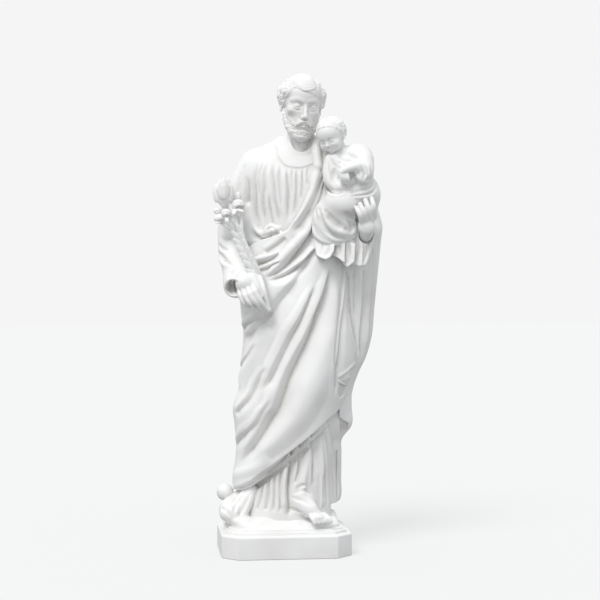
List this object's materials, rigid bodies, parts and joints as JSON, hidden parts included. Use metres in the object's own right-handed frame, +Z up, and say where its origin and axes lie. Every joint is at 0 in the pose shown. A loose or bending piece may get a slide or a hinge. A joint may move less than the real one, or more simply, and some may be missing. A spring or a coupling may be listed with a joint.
{
  "type": "saint joseph statue",
  "caption": "Standing saint figure in draped robes and mantle, carrying a child on one arm and a lily stem in the other hand, cast in one with a stepped plinth with cut corners",
  "frame": {"origin": "centre of the plinth's underside, on the surface that the statue stands on", "axes": "+Z up to the crown of the head, -Y out of the front of the plinth, +X to the viewer's right, where the child is carried"},
  "size_m": [0.3594, 0.2344, 0.9956],
  "materials": {
    "marble_resin": "white marble-filled resin, satin and slightly veined like carved marble"
  },
  "bodies": {
    "root": {"statue": "marble_resin"}
  },
  "joints": []
}
